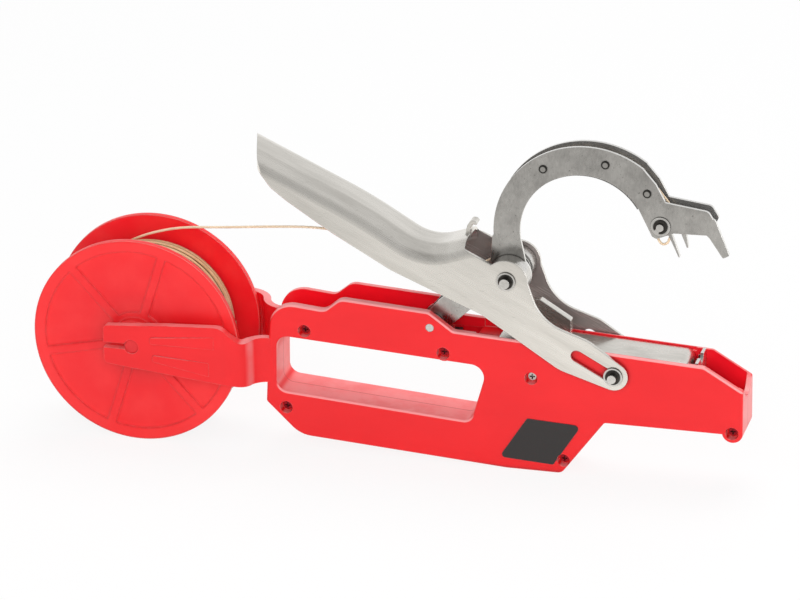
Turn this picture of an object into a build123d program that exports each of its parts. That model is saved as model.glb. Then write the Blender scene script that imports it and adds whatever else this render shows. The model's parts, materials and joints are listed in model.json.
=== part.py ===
"""Electric vine tying tool.

A red body in two halves carries a finger-loop handle, a barrel with the twisting drive and, in a fork
at the back, a reel of paper-covered tie wire. Squeezing the lever swings a C-shaped hook down until its
tip meets the mouth in the nose, where the wire is twisted and cut.

X runs from the reel to the nose, Y across the tool (the near side is -Y) and Z up. The tool stands on
its reel and on the flat at the front of its lower bar. The origin lies on that surface, under the
middle of the tool. All sizes are millimetres and all angles degrees.
"""
import os
from math import atan2, cos, degrees, hypot, pi, radians, sin, tan

from build123d import *

# Clearances
RUN_GAP = 0.05       # radial, between a shaft and the hole it turns or sits in
SLIDE_GAP = 0.3      # between faces that pass each other
SEAT_GAP = 0.1       # between pieces that rest in one another

# Body
HALF_WIDTH = 15.0    # half the body's thickness
WALL = 3.0
EDGE_ROUND = 1.6     # rounding of the body's outer edges
REAR_X = -74.0
NOSE_X = 215.7
BARREL_TOP = ((42.0, 85.0), (192.3, 76.8))   # the barrel's top edge, from the hook's pivot to the mouth
UNDERSIDE_Z = 35.0   # underside of the barrel
NOSE_TOP_Z = 62.8    # top of the front face
NOTCH_R, NOTCH_RISE = 11.5, 4.2      # round notch in the front wall and how far its centre lies above
CHIN_R = 6.3         # round lump under the nose, around its screw
FOOT_R = 5.0         # front corner of the lower bar
FOOT_FLAT = 31.8     # behind that corner the bar rests flat on the table for this length
BAR_RISE = 0.0678    # rise of its underside behind the flat, per millimetre
CAVITY_REAR_X = -58.0
TROUGH_HALF = 10.5   # half the width between the cheeks beside the hook
TROUGH_END_Z = 79.0  # floor of the trough where it runs out at the back
MOUTH_X = 189.0      # back of the open mouth
LEDGE_X0, LEDGE_X1, LEDGE_Z = 54.0, 67.0, 79.0    # bridge between hook well and barrel
LEDGE_DEEP = 13.6                     # from the top of the bridge to the finger loop's roof
LOOP = ((-66.7, 72.0, 7.0), (62.7, 64.0, 8.0), (52.2, 28.0, 6.0), (-67.3, 36.7, 7.0))
COVER_T = 1.2
COVER_DROP = 1.0     # the cover strip lies this far below the barrel's top edge
COVER_HALF = 12.9
COVER_X1 = 182.5
COVER_ROLL, COVER_LIP = 6.5, 7.0     # rounding of its front end and depth of the lip there

# Body screws
SCREW_R, SCREW_HEAD_R, SCREW_HEAD_T = 1.45, 2.5, 2.0
RECESS_R, RECESS_DEPTH = 3.9, 5.4
BOSS_R, RECESS_WALL = 4.0, 1.5
SCREW_TIP_Y = 9.0

# Fork and reel
FLANGE_R = 64.0
REEL_X = REAR_X - 77.7
REEL_WIDTH = 46.8    # over both flanges
FLANGE_T = 2.2
RIM_W, RIM_T = 7.0, 1.2
SPOKES, SPOKE_W, SPOKE_PHASE = 6, 5.4, 12.0
HUB_R = 15.0         # boss of the flange, under the fork arm
HUB_DISC_R = 18.5    # raised disc that the spokes start from
CORE_R = 22.0
WINDING_R = 50.0
AXLE_R = 4.4
ARM_OUT_Y = 33.0     # outer face of a fork arm
ARM_T = 4.5
ARM_LOW_Z = 44.0     # underside of an arm where it curves in
ARM_END = 17.3       # from the reel's axis to the arm's rear end
ARM_BEND_X0, ARM_BEND_X1 = -94.0, -71.5    # where the arm curves in to the body
SNAP_W = 3.6         # width of the slot that the axle snaps in through
PANEL_T, PANEL_FADE = 0.7, 0.1       # height of the raised panels on an arm, at their back and front ends

# Linkage
HOOK_PIVOT = (27.9, 86.1)
LEVER_PIVOT = (75.1, 121.1)
SLOT_PIN = (139.0, 66.8)
HOOK_CLOSE = 22.0    # swing of the hook from open to closed
LEVER_SHARE = 0.54   # how far the lever turns back for each degree of the hook
PIN_R = 3.0
HOOK_PIN_R = 2.5
SLOT_PIN_R = 2.6
SLOT_BUSH_R = 5.0    # bush in the body's wall that the slot pin sits in
PIN_OUT = 2.7        # length of a pin beyond its clip
WASHER_R, WASHER_T = 5.6, 0.8
CLIP_R, CLIP_T, CLIP_TURN = 4.4, 0.8, 235.0     # the last is where a clip is open

# Hook
PLATE_T = 2.0
PLATE_GAP = 8.2      # between the two plates
RING_IN = (118.9, 148.8, 38.1)     # inner edge of the ring: centre x, z and radius
RING_OUT = (121.0, 148.2, 56.0)
FAR_SHIFT = (-3.0, -4.5)           # the far plate's inner edge lies lower and further back by this
FAR_EYE_R = 9.5      # the far plate's round about the lever pivot
EYE_HALF = 7.5       # round end of the rocker about the hook's pivot
ROLLER_R, ROLLER_TRACK = 2.8, 47.3
ROLLER_ANGLES = {"rear_roller": 122.0, "top_roller": 75.5, "front_roller": 39.5}
RIVET_R, RIVET_HEAD_R, RIVET_HEAD_T = 1.4, 2.4, 0.7
GRIPPER_PIN = (164.5, 159.1)
GRIPPER_PIN_R = 2.2
GRIPPER_WASHER_R, GRIPPER_WASHER_T = 5.8, 0.7
BUSH_R, FAR_BUSH_R = 12.4, 10.4

# Lever
LEVER_HALF = 17.4    # to the outside of the cheeks
SHEET = 2.0
BEND_R = 10.0        # outside radius of the bends between web and cheeks
PALM_TIP = (-92.0, 194.9)        # web line in side view: where it starts,
PALM_MID, PALM_MID_R = (-12.0, 157.6), 300.0     # its slight arch,
WEB_DIP, WEB_DIP_R = (25.5, 134.6), 28.0         # the dip it is bent at
WEB_FRONT = (50.0, 143.2)        # and its front edge
CHEEK_TOP = ((50.3, 138.4), (67.2, 130.0))       # front edge of a cheek, from the web down to its eye
TONGUE_HALF = 3.3    # half the width of the curled tongue on the web's front edge
PALM_END_X = -79.5   # the palm is cut off here at its middle,
PALM_SLANT = -0.285  # on a slant across the tool
PALM_CORNERS = (6.0, 4.0)
EYE_R = 12.8         # round end of a cheek about the lever pivot
SLOT_EYE_R = 8.7     # round end about the slot pin
SLOT_OVERRUN = 4.0   # length of the slot beyond the pin's travel in it
SLOT_PLAY = 0.15     # between the pin and each side of the slot

# Drive
SPINDLE_Z = 58.0
SPINDLE_R = 4.0
MODULE, GEAR_TEETH, PINION_TEETH = 0.8, 26, 10
GEAR_X, GEAR_W = 111.5, 6.0
MOTOR_X0, MOTOR_X1, MOTOR_R = 72.0, 108.0, 11.0
SHAFT_R = 1.5
BEARING_R, BEARING_W = 8.0, 5.0
BEARING_X = (121.0, 177.0)
HEAD_X0, HEAD_X1 = 193.0, 202.0
HORN_IN, HORN_OUT, HORN_HALF = 3.5, 7.0, 1.4

# Return spring of the hook
SPRING_WIRE, SPRING_R = 0.6, 4.6     # radius of its wire and of its coil
SPRING_TURNS, SPRING_PITCH = 3, 1.25
SPRING_LEGS = (20.0, 30.0)           # up along the rocker and back down to the floor
SPACER_R = 2.0

# Electrics
CELL_R, CELL_L, CELL_X0 = 9.2, 65.2, -40.0
CONTACT_T = 0.8
BOARD_X0, BOARD_X1, BOARD_Z, BOARD_T = 66.0, 110.0, 28.0, 1.6
CELL_END_ROOM = 11.9 # from the front contact to the front corner of the bar
SOCKET_R, SOCKET_BORE_R, SOCKET_L = 4.6, 2.8, 11.0
LEAD_R = 0.8
SWITCH_X, SWITCH_L, SWITCH_W, SWITCH_Z1 = 31.8, 10.4, 5.8, 78.4
BUTTON_R, BUTTON_OUT = 1.1, 2.2

# Tie wire: its free stretch from the winding to the hook
WIRE_R = 0.75
WIRE_ROUTE = (
    (-177.1, 6.0, 108.0), (-163.0, 6.0, 116.0), (-150.0, 6.0, 122.2), (-130.0, 5.6, 127.9),
    (-104.0, 5.0, 130.2), (-74.0, 4.0, 133.8), (-42.0, 3.0, 136.8), (-8.0, 2.0, 133.2),
    (22.0, 1.0, 127.2), (42.0, 0.3, 123.8), (56.6, 0.0, 122.8), (63.0, 0.0, 128.2),
)

INNER = HALF_WIDTH - WALL
PLATE_IN = PLATE_GAP / 2
PLATE_OUT = PLATE_IN + PLATE_T
CHEEK_IN = LEVER_HALF - SHEET
REEL_Z = FLANGE_R
CHIN = (NOSE_X - CHIN_R, UNDERSIDE_Z + 1.4)
CELL_PITCH = CELL_L + 2 * CONTACT_T
CELL_X1 = CELL_X0 + 2 * CELL_PITCH
FOOT_X = CELL_X1 + CELL_END_ROOM
FLAT_X = FOOT_X - FOOT_FLAT
FRONT_LOW, FRONT_HIGH = (FOOT_X + 1.6, 0.0), (FOOT_X + 27.5, UNDERSIDE_Z)    # sloping front of the bar
SCREWS = ((-49.2, 76.6), (35.9, 70.4), (89.1, 59.6), (-61.5, 26.0), (FOOT_X + 3.0, 8.8), CHIN)
SWITCH_Y = PLATE_IN + PLATE_T / 2
MOTOR_Z = SPINDLE_Z - MODULE * (GEAR_TEETH + PINION_TEETH) / 2
RING_MID = ((RING_IN[0] + RING_OUT[0]) / 2, (RING_IN[1] + RING_OUT[1]) / 2)


def outline(corners):
    """Face in the XZ plane from corners (x, z, rounding)."""
    points = [(x, 0, z) for x, z, _ in corners]
    line = FilletPolyline(*points, radius=[r for _, _, r in corners], close=True)
    return Face(Wire(line.edges()))


def slab(face, y0, y1):
    """A face of the XZ plane given thickness from y0 to y1."""
    return extrude(Pos(0, y0, 0) * face, amount=y1 - y0, dir=(0, 1, 0))


def rod_y(spot, radius, y0, y1):
    """Round bar along Y about the point (x, z)."""
    plane = Plane(origin=(spot[0], y0, spot[1]), x_dir=(1, 0, 0), z_dir=(0, 1, 0))
    return Solid.make_cylinder(radius, y1 - y0, plane)


def rod_x(spot, radius, x0, x1):
    """Round bar along X about the point (y, z)."""
    plane = Plane(origin=(x0, spot[0], spot[1]), x_dir=(0, 1, 0), z_dir=(1, 0, 0))
    return Solid.make_cylinder(radius, x1 - x0, plane)


def ring_y(spot, outer, inner, y0, y1):
    return rod_y(spot, outer, y0, y1) - rod_y(spot, inner, y0 - 1, y1 + 1)


def block(x0, x1, y0, y1, z0, z1):
    corner = (Align.MIN, Align.MIN, Align.MIN)
    return Pos(x0, y0, z0) * Box(x1 - x0, y1 - y0, z1 - z0, align=corner)


def both_sides(shape):
    """A piece at -Y and its mirror image, as separate solids."""
    return [shape, mirror(shape, about=Plane.XZ)]


def polar(centre, radius, angle):
    return (centre[0] + radius * cos(radians(angle)), centre[1] + radius * sin(radians(angle)))


def turned(point, centre, angle):
    """A point (x, z) turned about a centre, anticlockwise seen from the near side."""
    dx, dz = point[0] - centre[0], point[1] - centre[1]
    c, s = cos(radians(angle)), sin(radians(angle))
    return (centre[0] + dx * c - dz * s, centre[1] + dx * s + dz * c)


def top_z(x):
    """Height of the barrel's top edge."""
    (x0, z0), (x1, z1) = BARREL_TOP
    return z0 + (x - x0) * (z1 - z0) / (x1 - x0)


def bottom_z(x):
    """Height of the lower bar's underside."""
    return max(0.0, (FLAT_X - x) * BAR_RISE)


def body_outline():
    return outline((
        (REAR_X + 4.0, 94.0, 15.0), (-36.5, 90.9, 7.0), (-26.5, 99.2, 8.0), (27.2, 95.8, 3.0),
        (BARREL_TOP[0][0], BARREL_TOP[0][1], 4.0), (BARREL_TOP[1][0], BARREL_TOP[1][1], 3.0),
        (NOSE_X, NOSE_TOP_Z, 2.0), (NOSE_X, UNDERSIDE_Z, 3.0), (*FRONT_HIGH, 2.5), (*FRONT_LOW, FOOT_R),
        (FLAT_X, 0.0, 60.0), (-53.6, bottom_z(-53.6), 18.0), (REAR_X, 28.7, 1.5),
    ))


def cavity_outline():
    """Inside of the body: its outline and loop, each drawn in by the wall."""
    inside = offset(body_outline(), amount=-WALL)
    around_loop = offset(outline(LOOP), amount=WALL)
    keep = slab(inside, -1, 1) - slab(around_loop, -2, 2)
    keep = keep & block(CAVITY_REAR_X, NOSE_X, -2, 2, 0, 200)
    return keep


def cavity_slab(y0, y1):
    """The body's inside from y0 to y1."""
    middle = cavity_outline()
    return Pos(0, (y0 + y1) / 2, 0) * scale(middle, by=(1, (y1 - y0) / 2, 1))


def top_opening():
    """Open trough along the top, from behind the hook's pivot to the front wall of the mouth."""
    return outline((
        (CAVITY_REAR_X, 84.0, 0), (CAVITY_REAR_X, 130.0, 0), (NOSE_X - WALL, 130.0, 0),
        (NOSE_X - WALL, 52.0, 0), (MOUTH_X, 52.0, 0), (MOUTH_X, 70.0, 0),
    ))


def fork_arm(near):
    """One fork arm at -Y: a strip curved in plan, cut to its side outline, with two raised panels."""
    mid_y = -(ARM_OUT_Y - ARM_T / 2)
    body_y = -(HALF_WIDTH - ARM_T / 2)
    drop = body_y - mid_y
    run = ARM_BEND_X1 - ARM_BEND_X0
    half_turn = atan2(drop, run)
    bend_r = run / (2 * sin(2 * half_turn))
    rear_x = REEL_X - ARM_END
    centre_x = (ARM_BEND_X0 + ARM_BEND_X1) / 2
    centre_y = (mid_y + body_y) / 2
    first = (ARM_BEND_X0 + bend_r * sin(half_turn), mid_y + bend_r * (1 - cos(half_turn)))
    last = (ARM_BEND_X1 - bend_r * sin(half_turn), body_y - bend_r * (1 - cos(half_turn)))
    line = [
        Line((rear_x, mid_y), (ARM_BEND_X0, mid_y)),
        ThreePointArc((ARM_BEND_X0, mid_y), first, (centre_x, centre_y)),
        ThreePointArc((centre_x, centre_y), last, (ARM_BEND_X1, body_y)),
    ]
    path = Wire([edge for piece in line for edge in piece.edges()])
    strip = Face(path.offset_2d(ARM_T / 2))
    strip = extrude(strip, amount=120.0, dir=(0, 0, 1))
    if near:
        shoulder = ((-96.0, 81.4, 9.0), (-84.5, 70.2, 6.0), (-60.0, 69.6, 0))
    else:
        shoulder = ((-95.0, 80.8, 12.0), (-60.0, 77.4, 0))
    side = outline((
        (rear_x, 76.4, 3.0), (-130.0, 79.6, 60.0), *shoulder, (-60.0, 41.5, 0), (-79.0, 41.3, 14.0),
        (-89.0, ARM_LOW_Z, 10.0), (rear_x, 52.3, 3.0),
    ))
    arm = strip & slab(side, -ARM_OUT_Y - 1, 0)
    hub = (REEL_X, REEL_Z)
    arm -= rod_y(hub, AXLE_R + RUN_GAP, -ARM_OUT_Y - 1, 0)
    arm -= block(rear_x - 1, REEL_X, -ARM_OUT_Y - 1, 0, REEL_Z - SNAP_W / 2, REEL_Z + SNAP_W / 2)
    for panel in (
        ((-139.6, 71.1, 1.2), (-100.2, 74.8, 0), (-100.2, 67.1, 0), (-139.6, 67.1, 1.2)),
        ((-138.3, 59.9, 1.2), (-103.6, 58.0, 0), (-103.6, 49.3, 0), (-138.3, 55.9, 1.2)),
    ):
        arm += raised_panel(panel)
    return arm


def raised_panel(corners):
    """Panel on the outside of a fork arm that fades into it towards the front."""
    x0, x1 = corners[0][0], corners[1][0]
    panel = slab(outline(corners), -ARM_OUT_Y - PANEL_T, -ARM_OUT_Y + 0.5)
    plan = Polyline(
        (x0 - 1, -ARM_OUT_Y - PANEL_T), (x1 + 1, -ARM_OUT_Y - PANEL_FADE), (x1 + 1, -ARM_OUT_Y - 2),
        (x0 - 1, -ARM_OUT_Y - 2), close=True,
    )
    return panel - extrude(Face(Wire(plan.edges())), amount=120.0, dir=(0, 0, 1))


def half_shell(near):
    """One body half at -Y. The near half has the screw recesses, the far half the pilot holes."""
    shell = slab(body_outline(), -HALF_WIDTH, 0) + rod_y(CHIN, CHIN_R, -HALF_WIDTH, 0)
    shell -= slab(outline(LOOP), -HALF_WIDTH - 1, 1)
    rim = shell.faces().sort_by(Axis.Y)[0].edges()
    shell = fillet(rim, EDGE_ROUND)
    shell += fork_arm(near)
    inside = cavity_slab(-INNER, 1.0)
    shell -= inside
    shell -= slab(top_opening(), -INNER, 1.0)
    shell -= block(REAR_X - 1, CAVITY_REAR_X + 1, -TROUGH_HALF, 1.0, TROUGH_END_Z, 130.0)
    cheek = block(CAVITY_REAR_X - 1, LEDGE_X0 + 1, -INNER - 1, -TROUGH_HALF, SWITCH_Z1, 130.0)
    shell += cheek & slab(body_outline(), -HALF_WIDTH, 0)
    shell += inner_ribs(cavity_slab(-INNER, 0.0))
    for spot in SCREWS:
        boss = rod_y(spot, BOSS_R, -HALF_WIDTH + EDGE_ROUND, 0)
        if near:
            cup_y = -HALF_WIDTH + RECESS_DEPTH + RECESS_WALL
            boss += rod_y(spot, RECESS_R + RECESS_WALL, -HALF_WIDTH + EDGE_ROUND, cup_y)
        shell += boss & slab(body_outline(), -HALF_WIDTH, 0)
        if near:
            shell -= rod_y(spot, SCREW_R + SEAT_GAP, -HALF_WIDTH - 1, 1)
            shell -= rod_y(spot, RECESS_R, -HALF_WIDTH - 1, -HALF_WIDTH + RECESS_DEPTH)
        else:
            shell -= rod_y(spot, SCREW_R + RUN_GAP, -SCREW_TIP_Y - 1, 1)
    shell -= slab(cover_seat(), -COVER_HALF - SEAT_GAP, 1)
    shell -= rod_x((0, NOSE_TOP_Z + NOTCH_RISE), NOTCH_R, NOSE_X - WALL - 1, NOSE_X + 1)
    shell -= rod_y(HOOK_PIVOT, HOOK_PIN_R + RUN_GAP, -HALF_WIDTH - 1, 1)
    shell -= rod_y(SLOT_PIN, SLOT_BUSH_R + RUN_GAP, -HALF_WIDTH - 1, 1)
    shell -= socket_bar(SOCKET_R + RUN_GAP)
    return shell


def inner_ribs(inside):
    """Bridge, cover ledges, bearing walls, motor cradle and board rails of one half."""
    ribs = block(LEDGE_X0, LEDGE_X1, -INNER - 1, 0, LEDGE_Z - LEDGE_DEEP, LEDGE_Z)
    ledge = outline((
        (LEDGE_X1 - 1, cover_z(LEDGE_X1 - 1) - COVER_T, 0),
        (176.0, cover_z(176.0) - COVER_T, 0),
        (176.0, cover_z(176.0) - COVER_T - 2.5, 0),
        (LEDGE_X1 - 1, cover_z(LEDGE_X1 - 1) - COVER_T - 2.5, 0),
    ))
    ribs += slab(ledge, -INNER - 1, -INNER + 2.0)
    for x in BEARING_X:
        wall = block(x, x + BEARING_W, -INNER, 0, UNDERSIDE_Z, SPINDLE_Z + BEARING_R + 3.0) & inside
        ribs += wall - rod_x((0, SPINDLE_Z), BEARING_R + RUN_GAP, x - 1, x + BEARING_W + 1)
    for x in (MOTOR_X0 + 4.0, MOTOR_X1 - 7.0):
        wall = block(x, x + 3.0, -INNER, 0, MOTOR_Z - 6.0, MOTOR_Z + 6.0)
        ribs += wall - rod_x((0, MOTOR_Z), MOTOR_R + SEAT_GAP, x - 1, x + 4.0)
    ribs += block(BOARD_X0, BOARD_X1, -INNER - 1, -INNER + 2.0, BOARD_Z - 2.0, BOARD_Z)
    return ribs


def cover_z(x):
    return top_z(x) - COVER_DROP


def cover_seat():
    """Room for the cover strip between the tops of the walls."""
    x0, x1 = LEDGE_X1 + 1.8, COVER_X1 + SEAT_GAP
    return outline((
        (x0, cover_z(x0) - COVER_T, 0), (x1, cover_z(x1) - COVER_T, 0), (x1, 130.0, 0), (x0, 130.0, 0),
    ))


def cover_strip():
    """Stainless strip over the barrel, rolled down at its front end to a narrower lip."""
    x0, x1 = LEDGE_X1 + 2.0, COVER_X1 - COVER_T
    z1 = cover_z(COVER_X1)
    face = outline((
        (x0, cover_z(x0), 0), (COVER_X1, z1, COVER_ROLL), (COVER_X1, z1 - COVER_LIP, 0),
        (x1, z1 - COVER_LIP, 0), (x1, cover_z(x1) - COVER_T, COVER_ROLL - COVER_T),
        (x0, cover_z(x0) - COVER_T, 0),
    ))
    top = slab(face, -COVER_HALF, COVER_HALF) & slab(cover_seat(), -COVER_HALF, COVER_HALF)
    return top + slab(face, -INNER + SEAT_GAP, INNER - SEAT_GAP)


def branch_guide():
    """Upright plate on the cover strip, between the two hook plates when the hook is down."""
    x0, x1, thick = 88.2, 110.4, 5.0
    face = outline((
        (x0, cover_z(x0), 0), (x0, 104.8, 1.0), (92.0, 105.0, 1.0), (x1, 93.5, 1.0), (x1, cover_z(x1), 0),
    ))
    return slab(face, -thick / 2, thick / 2)


def nose_bracket():
    """Steel plate across the back of the mouth with a notch that guides the wire."""
    x0, thick = MOUTH_X - 2.5, 1.8
    top = top_z(x0) + 0.5
    plate = block(x0, x0 + thick, -INNER + SEAT_GAP, INNER - SEAT_GAP, 64.5, top)
    plate -= rod_x((0, top), 4.0, x0 - 1, x0 + thick + 1)
    foot = block(x0 - 2.4, x0, -INNER + SEAT_GAP, -INNER + 2.0, 64.5, top - 4.0)
    return plate + foot + mirror(foot, about=Plane.XZ)


def cutter_blade():
    """Fixed blade on the bracket: the turning head shears the wire ends on its edge."""
    x0, thick = MOUTH_X - 0.7, 1.4
    face = Polyline((0, -8.0, 66.0), (0, 8.0, 66.0), (0, 8.0, 66.8), (0, -8.0, 73.2), close=True)
    return extrude(Pos(x0, 0, 0) * Face(Wire(face.edges())), amount=thick, dir=(1, 0, 0))


def reel_flange():
    """Near flange: disc with a raised rim, flat spokes, and a boss that runs against the fork arm."""
    hub = (REEL_X, REEL_Z)
    face_y = -REEL_WIDTH / 2
    disc_y = face_y + RIM_T
    flange = rod_y(hub, FLANGE_R, disc_y, disc_y + FLANGE_T)
    flange += ring_y(hub, FLANGE_R, FLANGE_R - RIM_W, face_y, disc_y + FLANGE_T)
    flange += rod_y(hub, HUB_DISC_R, face_y, disc_y)
    flange += rod_y(hub, HUB_R, -(ARM_OUT_Y - ARM_T) + SLIDE_GAP, disc_y)
    for k in range(SPOKES):
        spoke = block(HUB_R - 1, FLANGE_R - RIM_W / 2, face_y, disc_y + 0.2, -SPOKE_W / 2, SPOKE_W / 2)
        flange += Pos(REEL_X, 0, REEL_Z) * Rot(0, -(SPOKE_PHASE + k * 360 / SPOKES), 0) * spoke
    return flange - rod_y(hub, AXLE_R + RUN_GAP, -ARM_OUT_Y, 0)


def reel_core():
    """Drum between the flanges."""
    hub = (REEL_X, REEL_Z)
    half = REEL_WIDTH / 2 - RIM_T - FLANGE_T
    return ring_y(hub, CORE_R, CORE_R - WALL, -half, half) + ring_y(hub, 8.0, AXLE_R + RUN_GAP, -half, half)


def wire_winding():
    hub = (REEL_X, REEL_Z)
    half = REEL_WIDTH / 2 - RIM_T - FLANGE_T - SEAT_GAP
    return ring_y(hub, WINDING_R, CORE_R + SEAT_GAP, -half, half)


def wire_tube(route, widest=1e3):
    """Tube along straight runs joined by arcs as large as the runs allow."""
    points = [Vector(*p) for p in route]
    radii = []
    for a, b, c in zip(points, points[1:], points[2:]):
        turn = radians((b - a).get_angle(c - b))
        radii.append(min(widest, 0.45 * min((b - a).length, (c - b).length) / tan(turn / 2)))
    path = Wire(FilletPolyline(*points, radius=radii).edges())
    start = Plane(origin=points[0], z_dir=points[1] - points[0])
    return sweep(start * Circle(WIRE_R), path=path)


def hook_wire_route():
    """The wire inside the hook: in at the stem, round the outside of the rollers, out at the tip."""
    corner_r = (ROLLER_TRACK + ROLLER_R + WIRE_R + SLIDE_GAP) / cos(radians(15.0))
    ring = [polar(RING_MID, corner_r, a) for a in (170, 140, 110, 80, 50)]
    loop = ((6.5, 8.9), (5.0, -6.5), (3.0, -12.4), (-0.2, -13.8), (-2.9, -10.6), (-2.4, -7.0))
    tip = [(GRIPPER_PIN[0] + x, GRIPPER_PIN[1] + z) for x, z in loop]
    (x0, _, z0), (x1, _, z1) = WIRE_ROUTE[-2:]
    bend = (x1 + 0.65 * (x1 - x0), z1 + 0.65 * (z1 - z0))
    return [WIRE_ROUTE[-1]] + [(x, 0.0, z) for x, z in [bend] + ring + tip]


def hook_plate(finger):
    """One plate of the hook: rocker, stem, ring and head, with the finger on the near plate only."""
    y0, y1 = -PLATE_OUT, -PLATE_IN
    dx, dz = (0.0, 0.0) if finger else FAR_SHIFT
    hole = (RING_IN[0] + dx, RING_IN[1] + dz)
    ring = rod_y(RING_OUT[:2], RING_OUT[2], y0, y1) - rod_y(hole, RING_IN[2], y0 - 1, y1 + 1)
    left = RING_OUT[0] - RING_OUT[2]
    top = RING_OUT[1] + RING_OUT[2]
    keep = outline((
        (left - 5, 142.0, 0), (RING_MID[0], 142.0, 0), (RING_MID[0], RING_MID[1], 0),
        (166.9, 174.5, 0), (161.5, 184.5, 0), (154.4, 192.8, 0), (150.0, top + 5, 0),
        (left - 5, top + 5, 0),
    ))
    plate = ring & slab(keep, y0, y1)
    stem = outline((
        (left - 0.7, 144.5, 0), (hole[0] - RING_IN[2] + 0.6, 143.0 + dz, 0), (84.6 + dx, 127.0 + dz, 4.0),
        (LEVER_PIVOT[0] + 9.0 + dx, LEVER_PIVOT[1] - 6.0, 0), (LEVER_PIVOT[0] - 8.0, LEVER_PIVOT[1] - 8.0, 0),
        (62.6, 127.0, 6.0),
    ))
    head = outline((
        (154.0, 192.6, 0), (160.6, 184.6, 2.0), (166.6, 173.8, 3.0), (192.4, 170.4, 4.0),
        (196.6, 163.5, 2.0), (193.0, 155.9, 2.0), (172.0, 155.4, 3.0), (162.0, 151.0, 2.0),
        (159.4, 152.4, 1.0), (151.6, 168.3, 0), (146.0, 180.0, 0),
    ))
    plate += slab(stem, y0, y1) + slab(head, y0, y1)
    if finger:
        tooth = outline((
            (184.0, 166.0, 0), (196.2, 166.0, 2.0), (204.9, 144.4, 0.8), (201.2, 142.4, 0.8),
            (193.4, 154.0, 1.5), (189.5, 158.0, 1.0),
        ))
        plate += slab(tooth, y0, y1)
    plate += rod_y(HOOK_PIVOT, EYE_HALF, y0, y1)
    plate += rod_y(LEVER_PIVOT, BUSH_R if finger else FAR_EYE_R, y0, y1)
    length = hypot(LEVER_PIVOT[0] - HOOK_PIVOT[0], LEVER_PIVOT[1] - HOOK_PIVOT[1])
    rocker = outline([(*rocker_point(along, off), 0) for along, off in (
        (-1.0, 6.6), (10.8, 9.4), (30.0, 11.0), (length, 11.0),
        (length, -6.0), (29.0, -4.6), (7.5, -7.2), (0, -7.4),
    )])
    plate += slab(rocker, y0, y1)
    plate -= rod_y(HOOK_PIVOT, HOOK_PIN_R + RUN_GAP, y0 - 1, y1 + 1)
    plate -= rod_y(LEVER_PIVOT, PIN_R, y0 - 1, y1 + 1)
    for angle in ROLLER_ANGLES.values():
        plate -= rod_y(polar(RING_MID, ROLLER_TRACK, angle), RIVET_R, y0 - 1, y1 + 1)
    return plate - rod_y(GRIPPER_PIN, GRIPPER_PIN_R, y0 - 1, y1 + 1)


def headed_rivet(spot):
    head_y = PLATE_OUT + RIVET_HEAD_T
    rivet = rod_y(spot, RIVET_R, -head_y, head_y)
    for y0 in (-head_y, PLATE_OUT):
        rivet += rod_y(spot, RIVET_HEAD_R, y0, y0 + RIVET_HEAD_T)
    return rivet


def roller(spot):
    """Grooved guide wheel that turns on its rivet."""
    half = PLATE_IN - SLIDE_GAP
    wheel = ring_y(spot, ROLLER_R, RIVET_R + RUN_GAP, -half, half)
    plane = Plane(origin=(spot[0], 0, spot[1]), x_dir=(1, 0, 0), z_dir=(0, 1, 0))
    groove = Solid.make_torus(ROLLER_R + 0.5, 1.0, plane)
    return wheel - groove


def wire_needle():
    """Pointed guide on the near plate that carries the wire end down into the mouth."""
    face = outline((
        (160.0, 162.0, 2.0), (168.6, 163.0, 2.0), (170.8, 153.4, 0.8), (175.5, 140.2, 0.2),
        (174.7, 140.0, 0.2), (168.9, 152.8, 0.8), (160.0, 155.0, 2.0),
    ))
    needle = slab(face, -PLATE_IN, -PLATE_IN + 2.6)
    return needle - rod_y(GRIPPER_PIN, GRIPPER_PIN_R, -PLATE_IN - 1, 0)


def wire_gripper():
    """Jaw that tilts on its pin to pinch the wire."""
    face = outline((
        (159.8, 164.0, 2.5), (174.6, 164.0, 2.0), (177.9, 153.6, 1.0), (179.3, 144.3, 0.2),
        (178.5, 144.1, 0.2), (174.4, 154.4, 1.0), (160.0, 154.9, 2.5),
    ))
    jaw = slab(face, PLATE_IN - 2.9, PLATE_IN - SLIDE_GAP)
    return jaw - rod_y(GRIPPER_PIN, GRIPPER_PIN_R + RUN_GAP, 0, PLATE_IN + 1)


def gripper_pin():
    pin = rod_y(GRIPPER_PIN, GRIPPER_PIN_R, -PLATE_OUT - GRIPPER_WASHER_T - CLIP_T - 1.2, PLATE_OUT + 0.8)
    return pin + rod_y(GRIPPER_PIN, GRIPPER_PIN_R + 1.4, PLATE_OUT, PLATE_OUT + 0.8)


def spring_clip(spot, shaft_r, outer_r, y0, thick):
    """Open retaining ring on a shaft."""
    clip = ring_y(spot, outer_r, shaft_r, y0, y0 + thick)
    gap = block(0, outer_r + 1, y0 - 1, y0 + thick + 1, -shaft_r * 0.7, shaft_r * 0.7)
    return clip - Pos(spot[0], 0, spot[1]) * Rot(0, -CLIP_TURN, 0) * gap


def lever_outline():
    """Side view of the lever: palm, web line and one cheek."""
    return outline((
        (*PALM_TIP, 1.0), (*PALM_MID, PALM_MID_R), (*WEB_DIP, WEB_DIP_R), (*WEB_FRONT, 0),
        (*CHEEK_TOP[0], 1.0), (*CHEEK_TOP[1], 2.0),
        (LEVER_PIVOT[0] + EYE_R, LEVER_PIVOT[1] - 1.0, 0), (95.7, 97.5, 28.0), (123.9, 87.7, 16.0),
        (SLOT_PIN[0] + 5.3, SLOT_PIN[1] + 6.9, 0), (SLOT_PIN[0] - 2.7, SLOT_PIN[1] - 8.3, 0),
        (106.6, 68.0, 24.0), (60.1, 98.6, 14.0), (5.1, 121.9, 60.0), (-30.9, 142.6, 90.0),
        (-57.4, 160.0, 10.0), (-66.9, 167.4, 10.0), (-73.7, 176.7, 4.0),
        (PALM_TIP[0], PALM_TIP[1] - 5.8, 0),
    ))


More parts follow.
